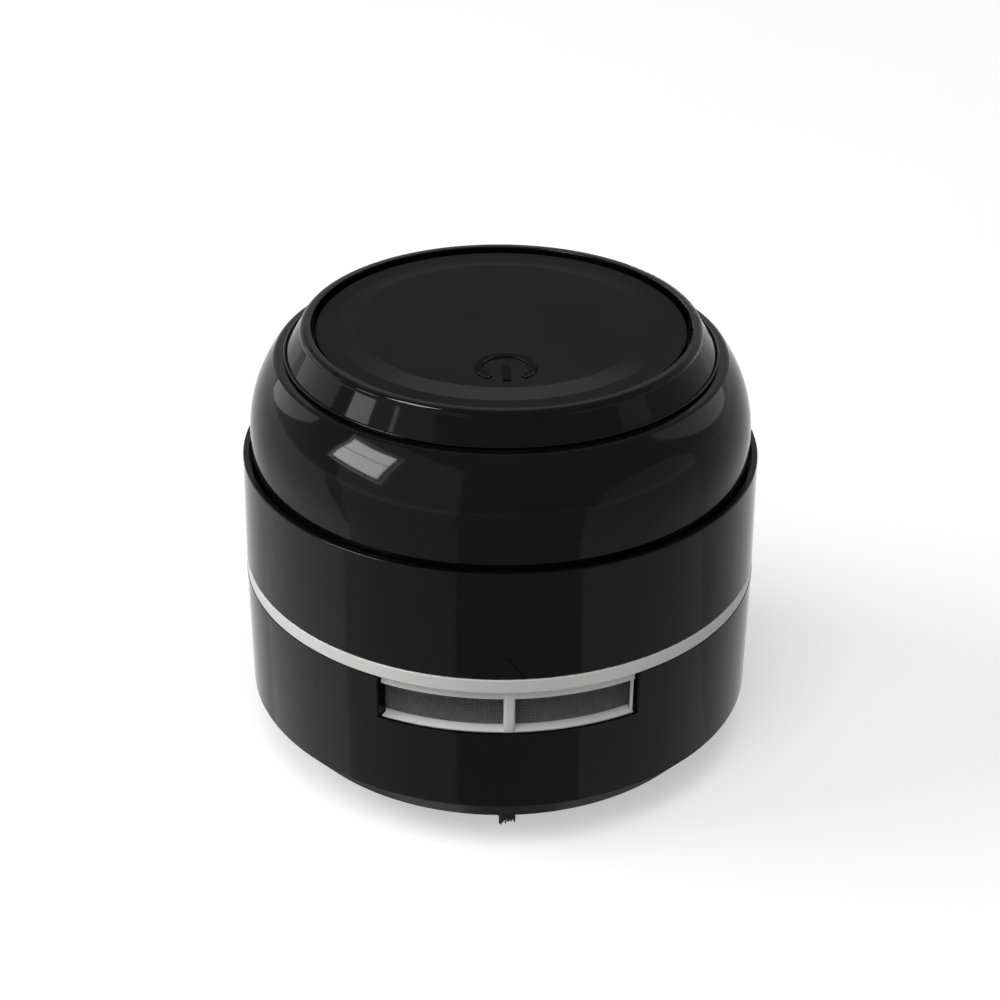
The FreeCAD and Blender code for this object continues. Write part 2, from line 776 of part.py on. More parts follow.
def make_button_springs():
    """Three coil springs of square wire round the guide posts, under the button."""
    body = new_body("button_springs")
    low = "dome_top - spring_pocket_depth + screw_gap + spring_wire / 2"
    high = "disc_under - screw_gap - spring_wire / 2"
    sketch = new_sketch(body, "XZ")
    half = "spring_wire / 2"
    rectangle(sketch, f"guide_circle + spring_radius - {half}", f"{low} - {half}",
              f"guide_circle + spring_radius + {half}", f"{low} + {half}")
    ends = [FreeCAD.Vector(measure("guide_circle"), measure(end), 0) for end in (low, high)]
    axis = sketch.addGeometry(Part.LineSegment(*ends), True)
    tie_point(sketch, axis, 1, "guide_circle", low)
    tie_point(sketch, axis, 2, "guide_circle", high)
    coil = body.newObject("PartDesign::AdditiveHelix", "coil")
    coil.Profile = sketch
    coil.ReferenceAxis = (sketch, ["Axis0"])
    coil.Mode = "height-turns-angle"
    coil.setExpression("Height", formula(f"({high}) - ({low})"))
    coil.setExpression("Turns", formula("spring_turns"))
    finish_feature(body, coil)
    around(body, [coil], 3)
    body.Placement.Rotation = FreeCAD.Rotation(FreeCAD.Vector(0, 0, 1), 60)


def make_switch():
    body = new_body("switch_body")
    sketch = new_sketch(body, "XY", "board_top")
    half = "switch_width / 2"
    rectangle(sketch, f"-{half}", f"-{half}", half, half)
    pad(body, sketch, "switch_height")
    high = "board_top + switch_height"
    low = f"{high} - plunger_depth - button_travel - running_gap"
    holes(body, [("0", "0")], "plunger_radius + running_gap", low, f"{high} + past")
    plunger = new_body("switch_plunger")
    pegs(plunger, [("0", "0")], "plunger_radius", f"{high} - plunger_depth", "disc_under")


def make_circuit_board():
    body = new_body("circuit_board")
    sketch = new_sketch(body, "XY", "board_under")
    circles(sketch, [("0", "0")], "board_radius")
    spots = ring_spots("board_screw_circle", 3)
    circles(sketch, spots, "small_screw_radius + screw_gap")
    pad(body, sketch, "board_thickness")
    low = "board_under - small_head_height"
    tip = "board_under + short_screw_length"
    screw_set("circuit_screws", spots, "small_head_radius", low, "board_under", tip)


def make_motor_deck():
    """The disc that closes the head: motor seat, screw holes, battery cradle and board posts."""
    body = new_body("motor_deck")
    revolve(body, [
        ("can_boss_radius + screw_gap", "band_top"),
        ("deck_radius", "band_top"),
        ("deck_radius", "deck_top"),
        ("can_boss_radius + screw_gap", "deck_top"),
    ])
    for side in ("-", "+"):
        sketch = new_sketch(body, "XY", "deck_top")
        middle = f"{side}(cell_length / 2 - cradle_inset)"
        half = "cradle_thickness / 2"
        rectangle(sketch, "-cell_offset - cell_radius", f"{middle} - {half}",
                  "-cell_offset + cell_radius", f"{middle} + {half}")
        pad(body, sketch, "cell_height - cell_radius / 2 - deck_top")
    sketch = new_sketch(body, "XZ")
    circles(sketch, [("-cell_offset", "cell_height")], "cell_radius + screw_gap")
    pocket(body, sketch, "cell_length", both_ways=True)
    pegs(body, charge_post_spots(), "charge_post_radius", "deck_top", "charge_board_under")
    holes(body, charge_post_spots(), "small_screw_radius", "deck_top", "charge_board_under + past")
    spots = ring_spots("post_circle", 3)
    holes(body, spots, "small_screw_radius + screw_gap", "band_top - past", "deck_top + past")
    head_high = "band_top + small_head_height"
    holes(body, spots, "small_head_radius + screw_gap", "band_top - past", head_high)
    spots = motor_screw_spots()
    holes(body, spots, "small_screw_radius + screw_gap", "band_top - past", "deck_top + past")
    holes(body, spots, "small_head_radius + screw_gap", "band_top - past", head_high)


def motor_screw_spots():
    return ring_spots("motor_screw_circle", 2)


def charge_post_spots():
    across = "charge_post_spacing / 2"
    back = "charge_board_reach - charge_board_length + charge_post_setback"
    return [(across, back), (f"-{across}", back)]


def make_deck_screws():
    low = "band_top + screw_gap"
    high = "band_top + small_head_height"
    tip = "band_top + deck_screw_length"
    spots = ring_spots("post_circle", 3)
    screw_set("deck_screws", spots, "small_head_radius", low, high, tip)
    tip = "band_top + short_screw_length"
    screw_set("motor_screws", motor_screw_spots(), "small_head_radius", low, high, tip)


def make_motor():
    """The motor: gasket, steel can with its bearing boss, plastic end cap and two terminals."""
    gasket = new_body("motor_gasket")
    revolve(gasket, [
        ("can_boss_radius + screw_gap", "deck_top"),
        ("can_radius", "deck_top"),
        ("can_radius", "motor_foot"),
        ("can_boss_radius + screw_gap", "motor_foot"),
    ])
    spots = motor_screw_spots()
    holes(gasket, spots, "small_screw_radius + screw_gap", "deck_top - past", "motor_foot + past")
    can = new_body("motor_can")
    bore = "shaft_radius + shaft_play"
    depth = "can_top - can_end_wall"
    revolve(can, [
        (bore, "motor_foot - can_boss_height"),
        ("can_boss_radius", "motor_foot - can_boss_height"),
        ("can_boss_radius", "motor_foot"),
        ("can_radius - can_edge", "motor_foot"),
        ("can_radius", "motor_foot + can_edge"),
        ("can_radius", "can_top - can_edge"),
        ("can_radius - can_edge", "can_top"),
        ("0", "can_top"),
        ("0", depth),
        (bore, depth),
    ])
    holes(can, spots, "small_screw_radius", "motor_foot - past", "band_top + short_screw_length")
    cap = new_body("motor_end_cap")
    revolve(cap, [
        ("0", "can_top"),
        ("end_cap_radius", "can_top"),
        ("end_cap_radius", "can_top + end_cap_height / 2"),
        ("end_cap_radius - end_cap_slope", "cap_top"),
        ("0", "cap_top"),
    ])
    terminals = new_body("motor_terminals")
    sketch = new_sketch(terminals, "XY", "cap_top")
    for side in ("-", "+"):
        middle = f"{side}terminal_spacing / 2"
        rectangle(sketch, f"{middle} - terminal_thickness / 2", "-terminal_width / 2",
                  f"{middle} + terminal_thickness / 2", "terminal_width / 2")
    pad(terminals, sketch, "terminal_height")


def make_motor_shaft():
    body = new_body("motor_shaft")
    high = "can_top - can_end_wall - running_gap"
    pegs(body, [("0", "0")], "shaft_radius", "fan_under - fan_hub_drop", high)


def make_impeller():
    """The fan: back plate, hub and curved blades that grow lower towards the rim."""
    body = new_body("impeller")
    eye_height = "fan_under - blade_height"
    rim_height = "fan_under - blade_rim_height"
    revolve(body, [
        ("shaft_radius", "fan_under - fan_hub_drop"),
        ("fan_hub_radius - fan_hub_taper", "fan_under - fan_hub_drop"),
        ("fan_hub_radius", "fan_under"),
        ("fan_radius", "fan_under"),
        ("fan_radius", "fan_top"),
        ("fan_hub_radius", "fan_top"),
        ("fan_hub_radius", "fan_top + fan_hub_rise"),
        ("shaft_radius", "fan_top + fan_hub_rise"),
    ])
    sketch = new_sketch(body, "XY", eye_height)
    inner = "(blade_curve_radius - blade_thickness / 2)"
    outer = "(blade_curve_radius + blade_thickness / 2)"
    bend = "(2 * blade_curve_radius * sqrt(fan_eye_radius ^ 2 + blade_curve_radius ^ 2))"
    spread = "(blade_reach ^ 2 - fan_eye_radius ^ 2 - 2 * blade_curve_radius ^ 2)"
    turn = f"(atan(blade_curve_radius / fan_eye_radius) + asin({spread} / {bend}))"
    outline(sketch, [
        ("fan_eye_radius", "-blade_thickness / 2"),
        (f"fan_eye_radius + {inner} * sin({turn})",
         f"{inner} * cos({turn}) - blade_curve_radius", inner, "right"),
        (f"fan_eye_radius + {outer} * sin({turn})",
         f"{outer} * cos({turn}) - blade_curve_radius"),
        ("fan_eye_radius", "blade_thickness / 2", outer, "left"),
    ])
    blade = pad(body, sketch, "blade_height + fan_plate / 2")
    around(body, [blade], 12)
    groove(body, [
        ("fan_eye_radius + blade_flat", eye_height),
        ("fan_radius + past", f"{eye_height} - past"),
        ("fan_radius + past", rim_height),
    ])


def make_battery():
    """One round cell lying in the deck's cradle, with a nickel tab on each end."""
    body = new_body("battery_cell")
    spot = [("-cell_offset", "cell_height")]
    sketch = new_sketch(body, "XZ")
    circles(sketch, spot, "cell_radius")
    pad(body, sketch, "cell_length", both_ways=True)
    tabs = new_body("battery_tabs")
    for start in ("cell_length / 2", "-cell_length / 2 - tab_thickness"):
        sketch = new_sketch(tabs, "XZ", start)
        rectangle(sketch, "-cell_offset - tab_width / 2", "cell_height - tab_width / 2",
                  "-cell_offset + tab_width / 2", "cell_height + cell_radius + tab_reach")
        pad(tabs, sketch, "tab_thickness")


def make_charging():
    """The charging board on its posts, and its socket, whose mouth shows in the belt's back."""
    board = new_body("charging_board")
    sketch = new_sketch(board, "XY", "charge_board_under")
    half = "charge_board_width / 2"
    front = "charge_board_reach - charge_board_length"
    rectangle(sketch, f"-{half}", front, half, "charge_board_reach")
    circles(sketch, charge_post_spots(), "small_screw_radius + screw_gap")
    pad(board, sketch, "charge_board_thickness")
    high = "charge_board_top + small_head_height"
    tip = "charge_board_top - short_screw_length"
    screw_set("charging_screws", charge_post_spots(), "small_head_radius", "charge_board_top", high, tip)
    socket = new_body("charging_socket")
    mouth = "belt_foot_radius - socket_recess"
    middle = "charge_board_top + socket_height / 2"
    sketch = new_sketch(socket, "XZ", f"-({mouth})")
    rounded_rectangle(sketch, middle, "socket_width", "socket_height", "socket_corner_radius")
    pad(socket, sketch, "socket_length")
    sketch = new_sketch(socket, "XZ", f"-({mouth})")
    width = "socket_width - 2 * socket_wall"
    height = "socket_height - 2 * socket_wall"
    rounded_rectangle(sketch, middle, width, height, "socket_corner_radius - socket_wall")
    pocket(socket, sketch, "socket_length - socket_back_wall", upward=True)
    sketch = new_sketch(socket, "XZ", f"-({mouth} - tongue_recess)")
    low = f"{middle} - tongue_height / 2"
    rectangle(sketch, "-tongue_width / 2", low, "tongue_width / 2", f"{low} + tongue_height")
    pad(socket, sketch, "socket_length - tongue_recess - socket_back_wall / 2")


def export_bodies():
    """Checks every object, then writes each body to a file of its own."""
    doc.recompute()
    for thing in doc.Objects:
        if "Invalid" in thing.State or "Error" in thing.State:
            sys.exit(f"{thing.Label} failed: {thing.State}")
    os.makedirs("parts", exist_ok=True)
    bodies = [thing for thing in doc.Objects if thing.TypeId == "PartDesign::Body"]
    for body in bodies:
        if body.Shape.isNull() or not body.Shape.isValid():
            sys.exit(f"{body.Label} has no valid shape")
    for body in bodies:
        body.Shape.exportStep(f"parts/{body.Label}.step")
        print(body.Label, len(body.Shape.Solids), round(body.Shape.Volume, 1))


fill_sheet()
make_base_cover()
make_brush_strips()
make_base_screws()
make_dust_cup()
make_filter_basket()
make_floor_plate()
make_inlet_chimney()
make_filter_mesh()
make_middle_housing()
make_top_housing()
make_collar_ring()
make_button_disc()
make_button_screws()
make_button_springs()
make_switch()
make_circuit_board()
make_motor_deck()
make_deck_screws()
make_motor()
make_motor_shaft()
make_impeller()
make_battery()
make_charging()
export_bodies()
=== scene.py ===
import math

import bmesh
import bpy
from mathutils import Matrix, Vector


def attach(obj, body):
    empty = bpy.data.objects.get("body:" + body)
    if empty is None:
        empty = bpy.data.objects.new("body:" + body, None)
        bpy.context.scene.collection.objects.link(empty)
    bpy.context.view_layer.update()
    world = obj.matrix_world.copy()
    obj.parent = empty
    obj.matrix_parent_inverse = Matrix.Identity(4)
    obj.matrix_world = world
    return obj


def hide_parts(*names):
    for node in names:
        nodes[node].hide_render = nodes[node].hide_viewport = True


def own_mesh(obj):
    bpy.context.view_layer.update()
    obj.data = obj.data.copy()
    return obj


# A palm-size desk vacuum. It stands on its bristles, its axis is Z and its window faces -Y.
# Numbers in the dictionaries are millimetres and degrees unless a note says otherwise.
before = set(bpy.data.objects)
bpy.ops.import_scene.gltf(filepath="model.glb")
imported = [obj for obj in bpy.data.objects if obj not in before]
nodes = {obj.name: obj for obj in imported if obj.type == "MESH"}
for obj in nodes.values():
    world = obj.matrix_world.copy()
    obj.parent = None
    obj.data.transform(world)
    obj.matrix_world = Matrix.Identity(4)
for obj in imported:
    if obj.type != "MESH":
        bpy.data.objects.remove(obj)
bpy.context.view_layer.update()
mm = 0.001
print("frame loaded,", len(nodes), "nodes")


# Nodes are laid out in rows, for whoever opens a tree.

nodeGrid = {"columns": 12, "width": 190, "height": 240}


def addNode(tree, kind, inputs=None, **options):
    node = tree.nodes.new(kind)
    row, column = divmod(len(tree.nodes), nodeGrid["columns"])
    node.location = (nodeGrid["width"] * column, -nodeGrid["height"] * row)
    for option, value in options.items():
        setattr(node, option, value)
    for socket, value in (inputs or {}).items():
        if isinstance(value, bpy.types.NodeSocket):
            tree.links.new(value, node.inputs[socket])
        else:
            node.inputs[socket].default_value = value
    return node


def noiseField(tree, place, scale, detail=3.0):
    noise = addNode(tree, "ShaderNodeTexNoise", {"Vector": place, "Scale": scale, "Detail": detail})
    return noise.outputs["Fac"]


def blendColours(tree, factor, dark, light):
    mix = addNode(tree, "ShaderNodeMix", data_type="RGBA")
    mix.inputs[6].default_value = (*dark, 1)
    mix.inputs[7].default_value = (*light, 1)
    tree.links.new(factor, mix.inputs[0])
    return mix.outputs[2]


def spread(tree, factor, low, high, fromLow=0.3, fromHigh=0.7):
    return addNode(tree, "ShaderNodeMapRange", {"Value": factor, "From Min": fromLow, "From Max": fromHigh,
                                                "To Min": low, "To Max": high}).outputs["Result"]


# Finishes: moulded plastics and metals, all with the same soft cloud and fine grain. A finish goes from dark to light
# and from its first to its second roughness with the cloud. Cloud and grain are noise scales.

grainDepth = 0.02 * mm
grainDetail = 2.0


def moulded(name, dark, light, rough, specular, cloud=60, grain=2500, bump=0.02, metallic=0.0, stretch=(1, 1, 1)):
    material = bpy.data.materials.new(name)
    material.use_nodes = True
    tree = material.node_tree
    shader = tree.nodes["Principled BSDF"]
    place = addNode(tree, "ShaderNodeTexCoord").outputs["Object"]
    place = addNode(tree, "ShaderNodeMapping", {"Vector": place, "Scale": stretch}).outputs["Vector"]
    soft = noiseField(tree, place, cloud)
    fine = noiseField(tree, place, grain, grainDetail)
    tree.links.new(blendColours(tree, spread(tree, soft, 0, 1), dark, light), shader.inputs["Base Color"])
    tree.links.new(spread(tree, soft, *rough), shader.inputs["Roughness"])
    relief = addNode(tree, "ShaderNodeBump", {"Height": fine, "Strength": bump, "Distance": grainDepth})
    tree.links.new(relief.outputs["Normal"], shader.inputs["Normal"])
    shader.inputs["Specular IOR Level"].default_value = specular
    shader.inputs["Metallic"].default_value = metallic
    return material


def grey(level):
    return (level, level, level * 1.03)


looks = {
    "blackGloss": {"dark": grey(0.0018), "light": grey(0.0030), "rough": (0.05, 0.09), "specular": 0.07, "grain": 900,
                   "bump": 0.03},
    "blackSatin": {"dark": grey(0.0122), "light": grey(0.0148), "rough": (0.20, 0.26), "specular": 0.003,
                   "grain": 5200, "bump": 0.12},
    "signSatin": {"dark": grey(0.0035), "light": grey(0.0050), "rough": (0.14, 0.20), "specular": 0.006,
                  "grain": 5200, "bump": 0.12},
    "baseSatin": {"dark": grey(0.0036), "light": grey(0.0058), "rough": (0.55, 0.65), "specular": 0.02,
                  "grain": 4200, "bump": 0.15},
    "innerBlack": {"dark": grey(0.0070), "light": grey(0.0110), "rough": (0.30, 0.42), "specular": 0.30,
                   "grain": 3200, "bump": 0.10},
    "whitePlastic": {"dark": (0.70, 0.70, 0.695), "light": (0.75, 0.75, 0.745), "rough": (0.30, 0.42),
                     "specular": 0.35, "grain": 2600, "bump": 0.05},
    "fanPlastic": {"dark": (0.30, 0.31, 0.32), "light": (0.36, 0.37, 0.38), "rough": (0.28, 0.40), "specular": 0.4,
                   "grain": 2800, "bump": 0.06},
    "meshGrey": {"dark": (0.140, 0.140, 0.142), "light": (0.195, 0.195, 0.198), "rough": (0.50, 0.65),
                 "specular": 0.2, "cloud": 900, "grain": 6000, "bump": 0.2},
    "bristle": {"dark": grey(0.004), "light": grey(0.012), "rough": (0.30, 0.50), "specular": 0.4, "cloud": 1500,
                "grain": 6000, "bump": 0.1},
    "brushedSteel": {"dark": (0.42, 0.42, 0.43), "light": (0.56, 0.56, 0.57), "rough": (0.22, 0.38), "specular": 0.5,
                     "cloud": 500, "grain": 1500, "bump": 0.10, "metallic": 1.0, "stretch": (1, 1, 0.06)},
    "screwSteel": {"dark": (0.35, 0.35, 0.36), "light": (0.52, 0.52, 0.53), "rough": (0.20, 0.34), "specular": 0.5,
                   "cloud": 1200, "grain": 4000, "bump": 0.10, "metallic": 1.0},
    "brass": {"dark": (0.55, 0.38, 0.14), "light": (0.68, 0.50, 0.22), "rough": (0.22, 0.36), "specular": 0.5,
              "cloud": 700, "metallic": 1.0},
    "nickel": {"dark": (0.52, 0.50, 0.46), "light": (0.64, 0.62, 0.58), "rough": (0.16, 0.28), "specular": 0.5,
               "cloud": 900, "metallic": 1.0},
    "cellWrap": {"dark": (0.03, 0.10, 0.26), "light": (0.04, 0.13, 0.32), "rough": (0.22, 0.32), "specular": 0.4,
                 "cloud": 120},
    "rubber": {"dark": grey(0.016), "light": grey(0.026), "rough": (0.60, 0.75), "specular": 0.3, "grain": 4200,
               "bump": 0.2},
    "boardGreen": {"dark": (0.012, 0.075, 0.035), "light": (0.020, 0.100, 0.048), "rough": (0.28, 0.36),
                   "specular": 0.5, "cloud": 400, "grain": 1800, "bump": 0.08},
}
finishes = {name: moulded(name, **look) for name, look in looks.items()}

nodeFinishes = {
    "blackGloss": ["dust_cup", "middle_housing", "top_housing", "collar_ring"],
    "blackSatin": ["button_disc"],
    "baseSatin": ["base_cover"],
    "innerBlack": ["motor_deck", "switch_body"],
    "whitePlastic": ["filter_basket", "floor_plate", "inlet_chimney", "motor_end_cap", "switch_plunger"],
    "fanPlastic": ["impeller"],
    "meshGrey": ["filter_mesh"],
    "bristle": ["brush_strips"],
    "brushedSteel": ["motor_can", "motor_shaft"],
    "screwSteel": ["base_screws", "deck_screws", "motor_screws", "button_screws", "circuit_screws",
                   "charging_screws", "button_springs"],
    "brass": ["motor_terminals"],
    "nickel": ["battery_tabs", "charging_socket"],
    "cellWrap": ["battery_cell"],
    "rubber": ["motor_gasket"],
    "boardGreen": ["circuit_board", "charging_board"],
}
for finish, names in nodeFinishes.items():
    for name in names:
        nodes[name].data.materials.clear()
        nodes[name].data.materials.append(finishes[finish])
print("finishes given to", sum(len(names) for names in nodeFinishes.values()), "nodes")


# Helpers for pieces made in mesh code.

mergeGap = 0.0001 * mm


def meshPiece(name, bm, finish, body, edge=0.0):
    mesh = bpy.data.meshes.new(name)
    bmesh.ops.remove_doubles(bm, verts=bm.verts, dist=mergeGap)
    bmesh.ops.recalc_face_normals(bm, faces=bm.faces)
    bm.to_mesh(mesh)
    bm.free()
    piece = bpy.data.objects.new(name, mesh)
    bpy.context.scene.collection.objects.link(piece)
    mesh.materials.append(finishes[finish])
    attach(piece, body)
    if edge:
        bevel = piece.modifiers.new("edge", "BEVEL")
        bevel.width, bevel.segments = edge * mm, 2
    return piece


def addBox(bm, middle, size, turn=0.0):
    # a box in millimetres, turned about Z in degrees
    spin = Matrix.Rotation(math.radians(turn), 4, "Z")
    for vert in bmesh.ops.create_cube(bm, size=1)["verts"]:
        place = Vector([centre + unit * length for centre, unit, length in zip(middle, vert.co, size)])
        vert.co = spin @ (place * mm)


def solidsOf(nodeName):
    # the lowest and highest corner of each separate solid of a node, in metres
    bm = bmesh.new()
    bm.from_mesh(nodes[nodeName].data)
    bmesh.ops.remove_doubles(bm, verts=bm.verts, dist=mergeGap)
    left, found = set(bm.verts), []
    while left:
        reached, group = [left.pop()], []
        while reached:
            vert = reached.pop()
            group.append(vert.co.copy())
            for edge in vert.link_edges:
                other = edge.other_vert(vert)
                if other in left:
                    left.discard(other)
                    reached.append(other)
        found.append((Vector([min(p[i] for p in group) for i in range(3)]),
                      Vector([max(p[i] for p in group) for i in range(3)])))
    bm.free()
    return sorted(found, key=lambda corners: [round(value / mm, 3) for value in corners[0]])


# Helpers for pieces grown by geometry nodes.

def newTree(name, sizes):
    tree = bpy.data.node_groups.new(name, "GeometryNodeTree")
    tree.interface.new_socket("Geometry", in_out="INPUT", socket_type="NodeSocketGeometry")
    for label, value in sizes.items():
        tree.interface.new_socket(label, in_out="INPUT", socket_type="NodeSocketFloat").default_value = value
    tree.interface.new_socket("Geometry", in_out="OUTPUT", socket_type="NodeSocketGeometry")
    return tree, tree.nodes.new("NodeGroupInput").outputs


def maths(tree, operation, first, second=0.0, third=0.0):
    return addNode(tree, "ShaderNodeMath", {0: first, 1: second, 2: third}, operation=operation).outputs[0]


def vector(tree, x=0.0, y=0.0, z=0.0):
    return addNode(tree, "ShaderNodeCombineXYZ", {0: x, 1: y, 2: z}).outputs[0]


def parts(tree, socket):
    return addNode(tree, "ShaderNodeSeparateXYZ", {0: socket}).outputs


def closeTree(tree, geometry, finish):
    solid = addNode(tree, "GeometryNodeRealizeInstances", {"Geometry": geometry})
    painted = addNode(tree, "GeometryNodeSetMaterial", {"Geometry": solid.outputs[0]})
    painted.inputs["Material"].default_value = finishes[finish]
    tree.links.new(painted.outputs[0], addNode(tree, "NodeGroupOutput").inputs[0])


def grow(name, base, tree, sizes, finish, body, smooth=True):
    # runs the tree on a base mesh and keeps the result as one plain mesh
    seed = bpy.data.objects.new(name + "Base", base)
    bpy.context.scene.collection.objects.link(seed)
    modifier = seed.modifiers.new("grow", "NODES")
    modifier.node_group = tree
    for item in tree.interface.items_tree:
        if item.in_out == "INPUT" and item.name in sizes:
            modifier[item.identifier] = float(sizes[item.name])
    evaluated = seed.evaluated_get(bpy.context.evaluated_depsgraph_get())
    mesh = bpy.data.meshes.new_from_object(evaluated)
    seed.modifiers.remove(modifier)
    bpy.data.objects.remove(seed)
    mesh.name = name
    mesh.materials.clear()
    mesh.materials.append(finishes[finish])
    for face in mesh.polygons:
        face.material_index = 0
        face.use_smooth = smooth
    piece = bpy.data.objects.new(name, mesh)
    bpy.context.scene.collection.objects.link(piece)
    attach(piece, body)
    return piece


def pointsMesh(name, places):
    mesh = bpy.data.meshes.new(name)
    mesh.from_pydata([tuple(place) for place in places], [], [])
    return mesh


# The power sign stands on the button's crown.

powerSign = {"ringRadius": 4.3, "stroke": 1.4, "gapHalf": 36.0, "barWidth": 1.3, "barStart": 0.7, "barEnd": -4.8,
             "ahead": 17.0, "foot": 74.8, "top": 75.22, "edge": 0.16, "steps": 72}


def makePowerSign(s):
    bm = bmesh.new()
    inner, outer = s["ringRadius"] - s["stroke"] / 2, s["ringRadius"] + s["stroke"] / 2
    start, end = math.radians(s["gapHalf"] - 90), math.radians(270 - s["gapHalf"])
    corners = [(inner, s["foot"]), (outer, s["foot"]), (outer, s["top"]), (inner, s["top"])]
    rings = []
    for i in range(s["steps"] + 1):
        a = start + (end - start) * i / s["steps"]
        rings.append([bm.verts.new((r * math.cos(a) * mm, (r * math.sin(a) - s["ahead"]) * mm, z * mm))
                      for r, z in corners])
    for near, far in zip(rings, rings[1:]):
        for i in range(4):
            bm.faces.new((near[i], near[(i + 1) % 4], far[(i + 1) % 4], far[i]))
    bm.faces.new(rings[0])
    bm.faces.new(list(reversed(rings[-1])))
    addBox(bm, (0, (s["barStart"] + s["barEnd"]) / 2 - s["ahead"], (s["foot"] + s["top"]) / 2),
           (s["barWidth"], s["barStart"] - s["barEnd"], s["top"] - s["foot"]))
    meshPiece("powerSign", bm, "signSatin", "button", s["edge"])


makePowerSign(powerSign)
print("power sign made")


# Bristles fill the four strips under the base.

# density is the most hairs per square metre, shortest and longest are shares of the length, spin is in radians, and
# flock is how far the noise pushes the tips, as a share of the clump
bristles = {"strips": 4, "start": 15.25, "end": 37.05, "width": 2.5, "root": 6.5, "length": 6.45, "spacing": 0.2,
            "density": 3e7, "rootRadius": 0.17, "tipRadius": 0.1, "sides": 4, "segments": 3, "shortest": 0.955,
            "longest": 0.995, "lean": 2.0, "spin": 6.28, "clump": 0.35, "clumpScale": 520.0, "flock": 2.0, "seed": 11}


def bristleTree(s, sizes):
    tree, given = newTree("bristleStrips", sizes)
    spots = addNode(tree, "GeometryNodeDistributePointsOnFaces",
                    {"Mesh": given["Geometry"], "Distance Min": given["Spacing"], "Density Max": s["density"],
                     "Seed": s["seed"]}, distribute_method="POISSON")
    hair = addNode(tree, "GeometryNodeMeshCone", {"Vertices": s["sides"], "Side Segments": s["segments"],
                                                  "Radius Top": given["Tip Radius"],
                                                  "Radius Bottom": given["Root Radius"], "Depth": given["Length"]})
    sway = maths(tree, "MULTIPLY", given["Lean"], -1.0)
    turn = addNode(tree, "FunctionNodeRandomValue", {"Seed": s["seed"] + 1}, data_type="FLOAT_VECTOR")
    for end, (lean, spin) in enumerate(((sway, 0.0), (given["Lean"], s["spin"]))):
        tree.links.new(vector(tree, maths(tree, "ADD", lean, math.pi), lean, spin), turn.inputs[end])
    reach = addNode(tree, "FunctionNodeRandomValue", {"Seed": s["seed"] + 2}, data_type="FLOAT")
    reach.inputs[2].default_value, reach.inputs[3].default_value = s["shortest"], s["longest"]
    hairs = addNode(tree, "GeometryNodeInstanceOnPoints",
                    {"Points": spots.outputs["Points"], "Instance": hair.outputs["Mesh"],
                     "Rotation": turn.outputs[0], "Scale": vector(tree, 1.0, 1.0, reach.outputs[1])})
    loose = addNode(tree, "GeometryNodeRealizeInstances", {"Geometry": hairs.outputs[0]})
    at = parts(tree, addNode(tree, "GeometryNodeInputPosition").outputs[0])
    flock = addNode(tree, "ShaderNodeTexNoise", {"Vector": vector(tree, at["X"], at["Y"], 0.0),
                                                 "Scale": given["Clump Scale"], "Detail": 1.0})
    push = parts(tree, flock.outputs["Color"])
    pushes = [maths(tree, "MULTIPLY_ADD", push[i], 2 * s["flock"], -s["flock"]) for i in (0, 1)]
    drop = maths(tree, "DIVIDE", maths(tree, "SUBTRACT", given["Root Height"], at["Z"]), given["Length"])
    bend = maths(tree, "MULTIPLY", maths(tree, "POWER", maths(tree, "MAXIMUM", drop, 0.0), 2.0), given["Clump"])
    aside = [maths(tree, "MULTIPLY", one, bend) for one in pushes]
    combed = addNode(tree, "GeometryNodeSetPosition", {"Geometry": loose.outputs[0],
                                                       "Offset": vector(tree, aside[0], aside[1], 0.0)})
    closeTree(tree, combed.outputs[0], "bristle")
    return tree


def makeBristles(s):
    bm = bmesh.new()
    for i in range(s["strips"]):
        spin = Matrix.Rotation(2 * math.pi * i / s["strips"], 4, "Z")
        low, high, half = s["start"] * mm, s["end"] * mm, s["width"] / 2 * mm
        corners = [(low, -half), (high, -half), (high, half), (low, half)]
        bm.faces.new([bm.verts.new(spin @ Vector((x, y, s["root"] * mm))) for x, y in corners])
    base = bpy.data.meshes.new("bristleRoots")
    bm.to_mesh(base)
    bm.free()
    sizes = {"Spacing": s["spacing"] * mm, "Length": s["length"] * mm, "Root Radius": s["rootRadius"] * mm,
             "Tip Radius": s["tipRadius"] * mm, "Root Height": s["root"] * mm, "Lean": math.radians(s["lean"]),
             "Clump": s["clump"] * mm, "Clump Scale": s["clumpScale"]}
    piece = grow("bristles", base, bristleTree(s, sizes), sizes, "bristle", "base", smooth=False)
    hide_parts("brush_strips")
    return piece


# A spine holds the roots of each strip.

spine = {"low": 5.3, "high": 6.58, "start": 15.05, "end": 37.25, "width": 2.9, "edge": 0.2}


def makeBrushSpines(s, strips):
    bm = bmesh.new()
    for i in range(strips):
        addBox(bm, ((s["start"] + s["end"]) / 2, 0, (s["low"] + s["high"]) / 2),
               (s["end"] - s["start"], s["width"], s["high"] - s["low"]), 360 * i / strips)
    meshPiece("brushSpines", bm, "innerBlack", "base", s["edge"])


bristlePiece = makeBristles(bristles)
makeBrushSpines(spine, bristles["strips"])
print("bristles made,", len(bristlePiece.data.polygons), "faces")


# The woven mesh lies behind the two windows.

weave = {"radius": 41.05, "halfAngle": 30.2, "foot": 23.37, "height": 7.8, "pitch": 0.3, "wire": 0.095, "sides": 3,
         "wave": 0.05}


